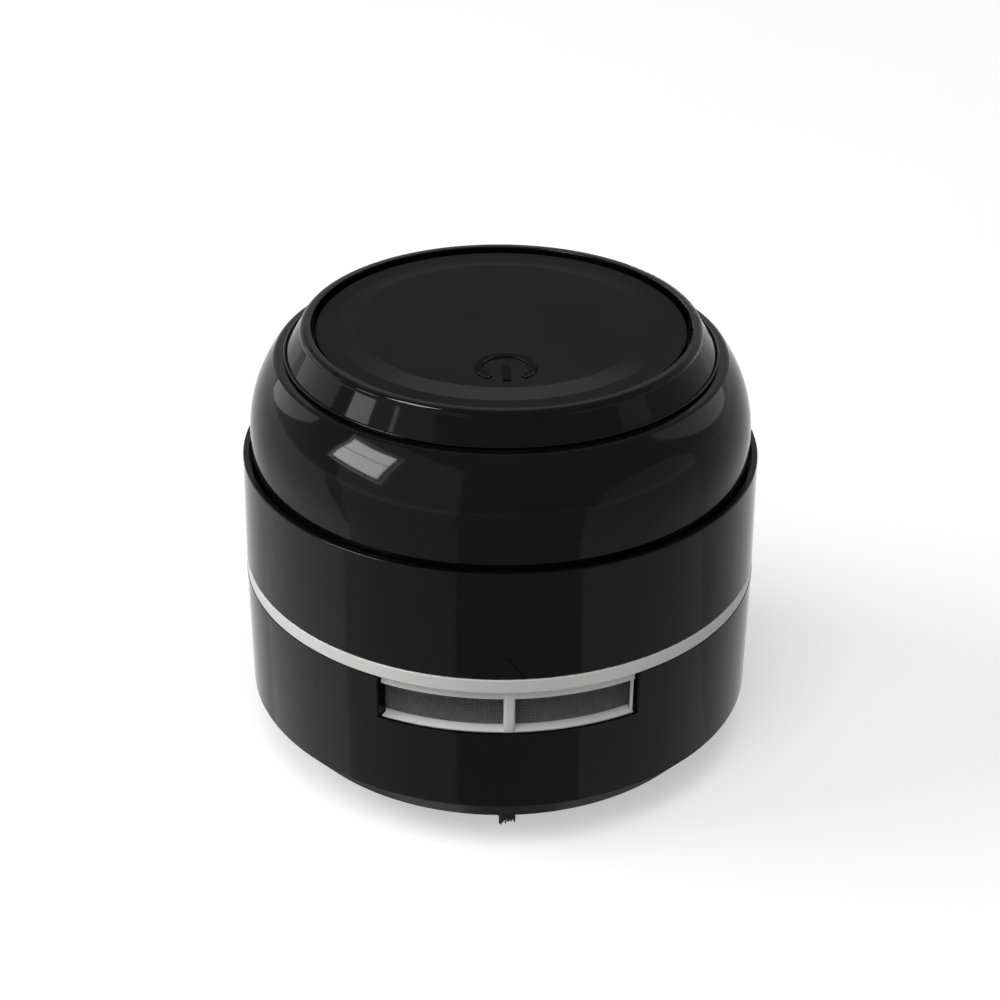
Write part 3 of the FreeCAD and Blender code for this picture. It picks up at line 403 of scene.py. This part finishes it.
def weaveTree(s, sizes):
    tree, given = newTree("wovenPanels", sizes)
    threads = []
    for across in (True, False):
        own, other = ("Rows", "Columns") if across else ("Columns", "Rows")
        line = addNode(tree, "GeometryNodeCurvePrimitiveLine")
        line.inputs["End"].default_value = (1, 0, 0)
        fineness = maths(tree, "MULTIPLY_ADD", given[other], 2.0, 1.0)
        fine = addNode(tree, "GeometryNodeResampleCurve", {"Curve": line.outputs[0], "Count": fineness})
        step = maths(tree, "DIVIDE", 1.0, given[own])
        first = maths(tree, "MULTIPLY", step, 0.5)
        ladder = addNode(tree, "GeometryNodeMeshLine", {"Count": given[own], "Offset": vector(tree, 0.0, step, 0.0),
                                                        "Start Location": vector(tree, 0.0, first, 0.0)})
        laid = addNode(tree, "GeometryNodeInstanceOnPoints", {"Points": ladder.outputs[0],
                                                              "Instance": fine.outputs[0]})
        loose = addNode(tree, "GeometryNodeRealizeInstances", {"Geometry": laid.outputs[0]})
        at = parts(tree, addNode(tree, "GeometryNodeInputPosition").outputs[0])
        along, rung = at["X"], at["Y"]
        # each crossing turns the thread to the other face, and its neighbour is half a wave behind
        phase = maths(tree, "ADD", maths(tree, "MULTIPLY", along, given[other]),
                      maths(tree, "MULTIPLY", rung, given[own]))
        swing = maths(tree, "COSINE", maths(tree, "MULTIPLY", maths(tree, "SUBTRACT", phase, 1.0), math.pi))
        wave = maths(tree, "MULTIPLY", given["Wave"], 1.0 if across else -1.0)
        radius = maths(tree, "MULTIPLY_ADD", swing, wave, given["Radius"])
        share, rise = (along, rung) if across else (rung, along)
        angle = maths(tree, "MULTIPLY", maths(tree, "MULTIPLY_ADD", share, 2.0, -1.0), given["Half Angle"])
        x = maths(tree, "MULTIPLY", radius, maths(tree, "SINE", angle))
        y = maths(tree, "MULTIPLY", maths(tree, "MULTIPLY", radius, maths(tree, "COSINE", angle)), -1.0)
        z = maths(tree, "MULTIPLY_ADD", rise, given["Height"], given["Foot"])
        bent = addNode(tree, "GeometryNodeSetPosition", {"Geometry": loose.outputs[0],
                                                         "Position": vector(tree, x, y, z)})
        section = addNode(tree, "GeometryNodeCurvePrimitiveCircle", {"Resolution": s["sides"],
                                                                     "Radius": given["Wire"]})
        threads.append(addNode(tree, "GeometryNodeCurveToMesh", {"Curve": bent.outputs[0],
                                                                 "Profile Curve": section.outputs["Curve"],
                                                                 "Fill Caps": True}).outputs[0])
    panel = addNode(tree, "GeometryNodeJoinGeometry")
    for thread in threads:
        tree.links.new(thread, panel.inputs[0])
    turned = addNode(tree, "GeometryNodeTransform", {"Geometry": panel.outputs[0]})
    turned.inputs["Rotation"].default_value = (0, 0, math.pi)
    both = addNode(tree, "GeometryNodeJoinGeometry")
    tree.links.new(panel.outputs[0], both.inputs[0])
    tree.links.new(turned.outputs[0], both.inputs[0])
    closeTree(tree, both.outputs[0], "meshGrey")
    return tree


def makeWeave(s):
    base = bpy.data.meshes.new("weaveSeed")
    half = math.radians(s["halfAngle"])
    sizes = {"Radius": s["radius"] * mm, "Half Angle": half, "Foot": s["foot"] * mm, "Height": s["height"] * mm,
             "Rows": round(s["height"] / s["pitch"]), "Columns": round(2 * half * s["radius"] / s["pitch"]),
             "Wire": s["wire"] * mm, "Wave": s["wave"] * mm}
    piece = grow("wovenMesh", base, weaveTree(s, sizes), sizes, "meshGrey", "basket")
    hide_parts("filter_mesh")
    return piece


weavePiece = makeWeave(weave)
print("woven mesh made,", len(weavePiece.data.polygons), "faces")


# Screws have a cross recess and a thread.

# Arm length and width are shares of the head's width, arm depth is one of its height, edge drop and thread depth are
# shares of the radius, and spin is the most that a screw is turned, in radians. The turns below keep the helix above 0.
screws = {"headSides": 36, "headRings": 4, "edgeDrop": 0.45, "armLength": 0.66, "armWidth": 0.17, "armDepth": 0.55,
          "shankRadius": 1.0, "shankSides": 20, "shankRings": 36, "threadDepth": 0.16, "threadPitch": 0.7,
          "turnsBelow": 20.0, "spin": 1.57, "seed": 5}
# drive is the way the recess faces, head is a radius
screwSets = {
    "baseScrews": {"node": "base_screws", "body": "base", "head": 2.0, "headHeight": 0.9, "drive": -1},
    "deckScrews": {"node": "deck_screws", "body": "head", "head": 2.0, "headHeight": 0.9, "drive": -1},
    "motorScrews": {"node": "motor_screws", "body": "head", "head": 2.0, "headHeight": 0.9, "drive": -1},
    "circuitScrews": {"node": "circuit_screws", "body": "head", "head": 2.0, "headHeight": 1.0, "drive": -1},
    "chargingScrews": {"node": "charging_screws", "body": "head", "head": 2.0, "headHeight": 1.0, "drive": 1},
    "buttonScrews": {"node": "button_screws", "body": "button", "head": 2.8, "headHeight": 1.0, "drive": -1},
}


def widen(tree, geometry, girth):
    # moves every point away from the axis or towards it
    here = addNode(tree, "GeometryNodeInputPosition").outputs[0]
    there = addNode(tree, "ShaderNodeVectorMath", {0: here, 1: vector(tree, girth, girth, 1.0)}, operation="MULTIPLY")
    return addNode(tree, "GeometryNodeSetPosition", {"Geometry": geometry, "Position": there.outputs[0]}).outputs[0]


def raised(tree, geometry, height):
    return addNode(tree, "GeometryNodeTransform", {"Geometry": geometry,
                                                   "Translation": vector(tree, 0.0, 0.0, height)}).outputs[0]


def screwTree(s, sizes):
    tree, given = newTree("crossScrew", sizes)
    at = parts(tree, addNode(tree, "GeometryNodeInputPosition").outputs[0])

    head = addNode(tree, "GeometryNodeMeshCylinder", {"Vertices": s["headSides"], "Side Segments": s["headRings"],
                                                      "Radius": given["Head Radius"], "Depth": given["Head Height"]})
    fromFoot = maths(tree, "SUBTRACT", 0.5, maths(tree, "DIVIDE", at["Z"], given["Head Height"]))
    bow = maths(tree, "POWER", maths(tree, "MAXIMUM", fromFoot, 0.0), 2.0)
    girth = maths(tree, "SQRT", maths(tree, "SUBTRACT", 1.0, maths(tree, "MULTIPLY", bow, given["Edge Drop"])))
    domed = widen(tree, head.outputs["Mesh"], girth)
    lifted = raised(tree, domed, maths(tree, "MULTIPLY", given["Head Height"], 0.5))
    cutter = addNode(tree, "GeometryNodeMeshBoolean", {"Mesh 1": lifted}, operation="DIFFERENCE")
    deep = maths(tree, "MULTIPLY", given["Arm Depth"], 2.0)
    for size in ((given["Arm Length"], given["Arm Width"]), (given["Arm Width"], given["Arm Length"])):
        arm = addNode(tree, "GeometryNodeMeshCube", {"Size": vector(tree, size[0], size[1], deep)})
        tree.links.new(arm.outputs["Mesh"], cutter.inputs["Mesh 2"])

    rod = maths(tree, "SUBTRACT", given["Length"], given["Head Height"])
    shank = addNode(tree, "GeometryNodeMeshCylinder", {"Vertices": s["shankSides"], "Side Segments": s["shankRings"],
                                                       "Radius": given["Shank Radius"], "Depth": rod})
    bearing = maths(tree, "DIVIDE", maths(tree, "ARCTAN2", at["Y"], at["X"]), 2 * math.pi)
    turns = maths(tree, "ADD", maths(tree, "DIVIDE", at["Z"], given["Thread Pitch"]),
                  maths(tree, "ADD", bearing, s["turnsBelow"]))
    valley = maths(tree, "ABSOLUTE", maths(tree, "MULTIPLY_ADD", maths(tree, "FRACT", turns), 2.0, -1.0))
    slim = maths(tree, "SUBTRACT", 1.0, maths(tree, "MULTIPLY", valley, given["Thread Depth"]))
    cut = widen(tree, shank.outputs["Mesh"], slim)
    seated = raised(tree, cut, maths(tree, "MULTIPLY_ADD", rod, 0.5, given["Head Height"]))

    whole = addNode(tree, "GeometryNodeJoinGeometry")
    tree.links.new(cutter.outputs["Mesh"], whole.inputs[0])
    tree.links.new(seated, whole.inputs[0])
    facing = addNode(tree, "FunctionNodeRandomValue", {"Seed": s["seed"]}, data_type="FLOAT")
    facing.inputs[2].default_value, facing.inputs[3].default_value = 0.0, s["spin"]
    stood = addNode(tree, "GeometryNodeInstanceOnPoints", {
        "Points": given["Geometry"], "Instance": whole.outputs[0],
        "Rotation": vector(tree, given["Flip"], 0.0, facing.outputs[1])})
    closeTree(tree, stood.outputs[0], "screwSteel")
    return tree


def makeScrews(s, sets):
    tree, total = None, 0
    for name, one in sets.items():
        solids = solidsOf(one["node"])
        up = one["drive"] > 0
        places = [((low.x + high.x) / 2, (low.y + high.y) / 2, high.z if up else low.z) for low, high in solids]
        sizes = {"Head Radius": one["head"] * mm, "Head Height": one["headHeight"] * mm,
                 "Edge Drop": s["edgeDrop"], "Arm Length": one["head"] * 2 * s["armLength"] * mm,
                 "Arm Width": one["head"] * 2 * s["armWidth"] * mm,
                 "Arm Depth": one["headHeight"] * s["armDepth"] * mm, "Shank Radius": s["shankRadius"] * mm,
                 "Length": solids[0][1].z - solids[0][0].z, "Thread Pitch": s["threadPitch"] * mm,
                 "Thread Depth": s["threadDepth"], "Flip": math.pi if up else 0.0}
        tree = tree or screwTree(s, sizes)
        piece = grow(name, pointsMesh(name + "Places", places), tree, sizes, "screwSteel", one["body"],
                     smooth=False)
        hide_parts(one["node"])
        total += len(places)
    return total


print(makeScrews(screws, screwSets), "screws made")


# Coil springs lift the button.

# keep is the share of the height that the button's full travel leaves
springs = {"wire": 0.22, "wireSides": 8, "radius": 2.7, "turns": 3.5, "steps": 32, "ringSteps": 40, "low": 69.6,
           "high": 72.8, "keep": 0.594}


def springTree(s, sizes):
    tree, given = newTree("coilSpring", sizes)
    coil = addNode(tree, "GeometryNodeCurveSpiral", {"Resolution": s["steps"], "Rotations": given["Turns"],
                                                     "Start Radius": given["Radius"], "End Radius": given["Radius"],
                                                     "Height": given["Height"]})
    loops = addNode(tree, "GeometryNodeJoinGeometry")
    tree.links.new(coil.outputs[0], loops.inputs[0])
    for height in (0.0, given["Height"]):
        ring = addNode(tree, "GeometryNodeCurvePrimitiveCircle", {"Resolution": s["ringSteps"],
                                                                  "Radius": given["Radius"]})
        tree.links.new(raised(tree, ring.outputs[0], height), loops.inputs[0])
    section = addNode(tree, "GeometryNodeCurvePrimitiveCircle", {"Resolution": s["wireSides"],
                                                                 "Radius": given["Wire"]})
    wire = addNode(tree, "GeometryNodeCurveToMesh", {"Curve": loops.outputs[0], "Profile Curve": section.outputs[0],
                                                     "Fill Caps": True})
    stood = addNode(tree, "GeometryNodeInstanceOnPoints", {"Points": given["Geometry"], "Instance": wire.outputs[0]})
    closeTree(tree, stood.outputs[0], "screwSteel")
    return tree


def makeSprings(s):
    places = [((low.x + high.x) / 2, (low.y + high.y) / 2, (s["low"] + s["wire"]) * mm)
              for low, high in solidsOf("button_springs")]
    sizes = {"Radius": s["radius"] * mm, "Height": (s["high"] - s["low"] - 2 * s["wire"]) * mm,
             "Wire": s["wire"] * mm, "Turns": s["turns"]}
    piece = grow("coilSprings", pointsMesh("springPlaces", places), springTree(s, sizes), sizes, "screwSteel", "head")
    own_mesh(piece)
    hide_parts("button_springs")
    return len(places)


print(makeSprings(springs), "springs made")


# A fine bead closes the collar's foot.

bead = {"radius": 35.86, "height": 70.78, "thick": 0.24, "steps": 180, "sides": 10}


def makeBead(s):
    bm = bmesh.new()
    rings = []
    for i in range(s["steps"]):
        a = 2 * math.pi * i / s["steps"]
        ring = []
        for j in range(s["sides"]):
            b = 2 * math.pi * j / s["sides"]
            r = s["radius"] + s["thick"] * math.cos(b)
            ring.append(bm.verts.new((r * math.cos(a) * mm, r * math.sin(a) * mm,
                                      (s["height"] + s["thick"] * math.sin(b)) * mm)))
        rings.append(ring)
    for ring, following in zip(rings, rings[1:] + rings[:1]):
        for j in range(s["sides"]):
            k = (j + 1) % s["sides"]
            bm.faces.new((ring[j], following[j], following[k], ring[k])).smooth = True
    meshPiece("collarBead", bm, "blackGloss", "head")


makeBead(bead)
print("collar bead made")


# A slim white strip stands only at the window's right end. It is a painted highlight: its white stands in for the
# bright line on the lit edge of the black window wall.

paintedHighlightUpright = {"turn": 27.7, "near": 42.45, "far": 43.05, "width": 0.36, "low": 23.4, "high": 29.8, "edge": 0.1}


def makePaintedHighlightUpright(s):
    bm = bmesh.new()
    addBox(bm, (0, -(s["near"] + s["far"]) / 2, (s["low"] + s["high"]) / 2),
           (s["width"], s["far"] - s["near"], s["high"] - s["low"]), s["turn"])
    meshPiece("windowUpright", bm, "whitePlastic", "basket", s["edge"])


makePaintedHighlightUpright(paintedHighlightUpright)
print("window upright made")


# The camera. Lift is above the floor, turn is from -Y towards -X.

view = {"lens": 75.04, "away": 360.61, "lift": 29.61, "turn": 2.36, "roll": 0.464, "target": (0.0, 0.0, 41.27),
        "clip": 10.0}


def makeCamera(s):
    camera = bpy.data.objects.new("camera", bpy.data.cameras.new("camera"))
    bpy.context.scene.collection.objects.link(camera)
    camera.data.lens = s["lens"]
    camera.data.clip_start = s["clip"] * mm
    lift, turn = math.radians(s["lift"]), math.radians(s["turn"])
    offset = Vector((-math.sin(turn) * math.cos(lift), -math.cos(turn) * math.cos(lift), math.sin(lift)))
    look = (-offset).to_track_quat("-Z", "Y").to_matrix().to_4x4()
    target = Vector(s["target"]) * mm
    camera.matrix_world = (Matrix.Translation(target + offset * s["away"] * mm) @ look
                           @ Matrix.Rotation(math.radians(s["roll"]), 4, "Z"))
    bpy.context.scene.camera = camera


# Floor and world, with sizes in metres. The floor's shade is "cast" for the light that it throws on things and "seen"
# where it is looked at. There some light is added, so that shadows stay pale: it grows from lift to farLift between the
# distances near and far.

floorLook = {"size": 8.0, "seen": 0.64, "cast": 0.30, "lift": 0.47, "farLift": 1.0, "near": 0.45, "far": 2.2,
             "fleck": 0.985, "fleckScale": 12}
worldLook = {"ambient": 0.16, "backdrop": 1.0}


def backdropRays(tree):
    # 1 for what the camera, a gloss or a clear part sees, 0 for the light that falls on things
    path = addNode(tree, "ShaderNodeLightPath").outputs
    either = maths(tree, "MAXIMUM", path["Is Camera Ray"], path["Is Glossy Ray"])
    return maths(tree, "MAXIMUM", either, path["Is Transmission Ray"])


def makeFloor(s):
    bm = bmesh.new()
    bmesh.ops.create_grid(bm, x_segments=1, y_segments=1, size=s["size"] / 2)
    mesh = bpy.data.meshes.new("floor")
    bm.to_mesh(mesh)
    bm.free()
    floor = bpy.data.objects.new("floor", mesh)
    bpy.context.scene.collection.objects.link(floor)
    material = bpy.data.materials.new("paperFloor")
    material.use_nodes = True
    tree = material.node_tree
    tree.nodes.clear()
    place = addNode(tree, "ShaderNodeTexCoord").outputs["Object"]
    fleck = spread(tree, noiseField(tree, place, s["fleckScale"]), s["fleck"], 1)
    shade = maths(tree, "MULTIPLY", fleck, spread(tree, backdropRays(tree), s["cast"], s["seen"], 0, 1))
    paper = addNode(tree, "ShaderNodeBsdfDiffuse", {"Color": vector(tree, shade, shade, shade)})
    away = addNode(tree, "ShaderNodeVectorMath", {0: place}, operation="LENGTH").outputs["Value"]
    lift = spread(tree, away, s["lift"], s["farLift"], s["near"], s["far"])
    glow = addNode(tree, "ShaderNodeEmission", {"Strength": maths(tree, "MULTIPLY", backdropRays(tree), lift)})
    both = addNode(tree, "ShaderNodeAddShader", {0: paper.outputs[0], 1: glow.outputs[0]})
    # clear from below, so that the underside can be looked at
    below = addNode(tree, "ShaderNodeNewGeometry").outputs["Backfacing"]
    clear = addNode(tree, "ShaderNodeBsdfTransparent")
    sided = addNode(tree, "ShaderNodeMixShader", {0: below, 1: both.outputs[0], 2: clear.outputs[0]})
    tree.links.new(sided.outputs[0], addNode(tree, "ShaderNodeOutputMaterial").inputs[0])
    mesh.materials.append(material)


def makeWorld(s):
    world = bpy.data.worlds.new("studio")
    bpy.context.scene.world = world
    world.use_nodes = True
    tree = world.node_tree
    tree.nodes.clear()
    sky = addNode(tree, "ShaderNodeBackground", {
        "Strength": spread(tree, backdropRays(tree), s["ambient"], s["backdrop"], 0, 1)})
    sky.inputs["Color"].default_value = (1, 1, 1, 1)
    tree.links.new(sky.outputs[0], addNode(tree, "ShaderNodeOutputWorld").inputs[0])


# Lamps. Turn is from -Y towards +X and lift is above the floor, away, aim and sizes are metres.

lamps = {
    "keyPanel": {"turn": -94, "lift": 35, "away": 2.2, "width": 1.3, "height": 1.2, "power": 26.5, "aim": 0.03},
    "fillPanel": {"turn": -35, "lift": 25, "away": 2.2, "width": 1.3, "height": 1.0, "power": 5, "aim": 0.03},
    "topPanel": {"turn": -18, "lift": 67, "away": 2.6, "width": 1.7, "height": 1.7, "power": 37, "aim": 0.04},
}
# Only the gloss shows the panels, and where "only" names parts, only theirs. A panel faces where it stands from, unless
# faceTurn and faceLift say otherwise. A pane goes from left to right and from low to high in shares of the panel, and
# has its share of the level.
whole = [(0.0, 1.0, 0.0, 1.0, 1.0)]
shell = ["top_housing", "middle_housing", "dust_cup", "collarBead"]
glossPanels = {
    "windowPanel": {"turn": -67.8, "lift": 20.0, "away": 0.8, "aim": 0.066, "faceTurn": -40.4, "faceLift": -10.1,
                    "roll": -8.1, "width": 0.45, "height": 0.345, "level": 43, "only": shell,
                    "panes": [(0.08, 0.92, 0.10, 0.53, 1.0), (0.08, 0.92, 0.55, 0.905, 1.0),
                              (0.0, 0.03, 0.0, 1.0, 0.24), (0.97, 1.0, 0.0, 1.0, 0.14),
                              (0.03, 0.97, 0.0, 0.04, 0.24), (0.03, 0.97, 0.96, 1.0, 0.10)]},
    "frontCard": {"turn": -47, "lift": 20, "away": 0.9, "aim": 0.03, "faceLift": 0, "width": 0.90, "height": 0.68,
                  "level": 1.0},
    "leftCard": {"turn": -116.8, "lift": 11.1, "away": 0.9, "aim": 0.066, "roll": 32.7, "width": 0.66,
                 "height": 0.19, "level": 2.0, "round": True, "only": shell},
    "rightCard": {"turn": 103.4, "lift": 18.7, "away": 0.9, "aim": 0.066, "roll": -29.6, "width": 0.94,
                  "height": 0.34, "level": 1.2, "round": True, "only": shell},
    "rightArch": {"turn": 64, "lift": 0, "away": 0.9, "aim": 0.05, "width": 0.84, "height": 0.40, "level": 0.5,
                  "round": True, "only": shell},
    "collarPane": {"turn": -82, "lift": 25, "away": 0.9, "aim": 0.073, "width": 0.19, "height": 0.22, "level": 12,
                   "only": ["collar_ring"]},
    "collarStripe": {"turn": -62, "lift": 31, "away": 0.9, "aim": 0.073, "width": 0.03, "height": 0.16, "level": 6,
                     "only": ["collar_ring"]},
    "collarSide": {"turn": -118, "lift": 14, "away": 0.9, "aim": 0.073, "width": 0.62, "height": 0.36, "level": 1.5,
                   "only": ["collar_ring"]},
    "collarPatch": {"turn": 74, "lift": 26, "away": 0.9, "aim": 0.073, "roll": -22, "width": 0.26, "height": 0.10,
                    "level": 0.7, "only": ["collar_ring"]},
    "rimLine": {"turn": -70, "lift": 55, "away": 0.9, "aim": 0.073, "width": 0.30, "height": 0.24, "level": 60,
                "only": ["collar_ring"]},
    "discPanel": {"turn": 180, "lift": 52, "away": 0.9, "aim": 0.075, "width": 1.0, "height": 0.44, "level": 26,
                  "only": ["button_disc", "powerSign"]},
}
# The glow is a panel that lies just above the floor round the vacuum. A sector lies between its edges, each a point and
# a turn, and its level goes from the first to the second between two turns round the middle, a place on Y. An edge
# fades over twice the soft length. Only the size is in metres.
floorGlow = {"size": 2.4, "height": 1.0, "middle": -28.0, "soft": 0.5, "sectors": [
    {"after": [((-39, -20), -132)], "before": [((-25, -35), -74), ((-111, -60), -85.3)], "turns": (-74, -124),
     "levels": (1.4, 0.05)},
    {"after": [((-25, -35), -74)], "before": [((-9, -44), -21)], "turns": (-74, -21), "levels": (0.70, 0.60)},
    {"after": [((11, -41), 34)], "before": [((101, -20), 92.6)], "turns": (34, 96), "levels": (0.75, 0.20)},
]}


def heading(turn, lift):
    turn, lift = math.radians(turn), math.radians(lift)
    return Vector((math.sin(turn) * math.cos(lift), -math.cos(turn) * math.cos(lift), math.sin(lift)))


def areaLamp(name, place, width, height, power, glossOnly, shape="RECTANGLE"):
    lamp = bpy.data.lights.new(name, "AREA")
    lamp.shape = shape
    lamp.size, lamp.size_y, lamp.energy = width, height, power
    panel = bpy.data.objects.new(name, lamp)
    bpy.context.scene.collection.objects.link(panel)
    panel.matrix_world = place
    panel.visible_camera = False
    panel.visible_diffuse = not glossOnly
    panel.visible_glossy = glossOnly
    return panel


def standing(s):
    back = heading(s.get("faceTurn", s["turn"]), s.get("faceLift", s["lift"]))
    across = Vector((0, 0, 1)).cross(back).normalized()
    axes = Matrix((across, back.cross(across), back)).transposed().to_4x4()
    middle = Vector((0, 0, s["aim"])) + heading(s["turn"], s["lift"]) * s["away"]
    return Matrix.Translation(middle) @ axes @ Matrix.Rotation(math.radians(s.get("roll", 0)), 4, "Z")


def shineOn(panel, names):
    group = bpy.data.collections.new(panel.name + "Parts")
    for name in names:
        group.objects.link(nodes[name] if name in nodes else bpy.data.objects[name])
    panel.light_linking.receiver_collection = group


def glossPanel(name, s):
    for left, right, low, high, share in s.get("panes", whole):
        width, height = s["width"] * (right - left), s["height"] * (high - low)
        shift = Matrix.Translation((s["width"] * ((left + right) / 2 - 0.5), s["height"] * ((low + high) / 2 - 0.5), 0))
        panel = areaLamp(name, standing(s) @ shift, width, height, s["level"] * share * math.pi * width * height, True,
                         "ELLIPSE" if s.get("round") else "RECTANGLE")
        if "only" in s:
            shineOn(panel, s["only"])


def glowEdge(tree, at, edge, soft):
    # 0 before the edge and 1 after it, as the turn grows
    (x, y), turn = edge
    turn = math.radians(turn)
    gap = maths(tree, "ADD", maths(tree, "MULTIPLY", maths(tree, "SUBTRACT", at["X"], x * mm), math.cos(turn)),
                maths(tree, "MULTIPLY", maths(tree, "SUBTRACT", at["Y"], y * mm), math.sin(turn)))
    return spread(tree, gap, 0, 1, -soft * mm, soft * mm)


def makeGlow(s):
    place = Matrix.Translation((0, 0, s["height"] * mm)) @ Matrix.Rotation(math.pi, 4, "X")
    lamp = areaLamp("floorGlow", place, s["size"], s["size"], math.pi * s["size"] ** 2, True).data
    lamp.use_nodes = True
    tree = lamp.node_tree
    at = parts(tree, addNode(tree, "ShaderNodeNewGeometry").outputs["Position"])
    turn = maths(tree, "ARCTAN2", at["X"], maths(tree, "SUBTRACT", s["middle"] * mm, at["Y"]))
    level = 0.0
    for sector in s["sectors"]:
        inside = 1.0
        for edge in sector["after"]:
            inside = maths(tree, "MULTIPLY", inside, glowEdge(tree, at, edge, s["soft"]))
        for edge in sector["before"]:
            beyond = maths(tree, "SUBTRACT", 1.0, glowEdge(tree, at, edge, s["soft"]))
            inside = maths(tree, "MULTIPLY", inside, beyond)
        near, far = (math.radians(turning) for turning in sector["turns"])
        level = maths(tree, "MULTIPLY_ADD", inside, spread(tree, turn, *sector["levels"], near, far), level)
    tree.links.new(level, tree.nodes["Emission"].inputs["Strength"])


bpy.context.scene.view_settings.view_transform = "Standard"
makeCamera(view)
makeFloor(floorLook)
makeWorld(worldLook)
for lampName, lampSizes in lamps.items():
    areaLamp(lampName, standing(lampSizes), lampSizes["width"], lampSizes["height"], lampSizes["power"], False)
for panelName, panelSizes in glossPanels.items():
    glossPanel(panelName, panelSizes)
makeGlow(floorGlow)
print("camera, floor,", len(lamps), "lamps and", len(glossPanels) + 1, "gloss panels ready")
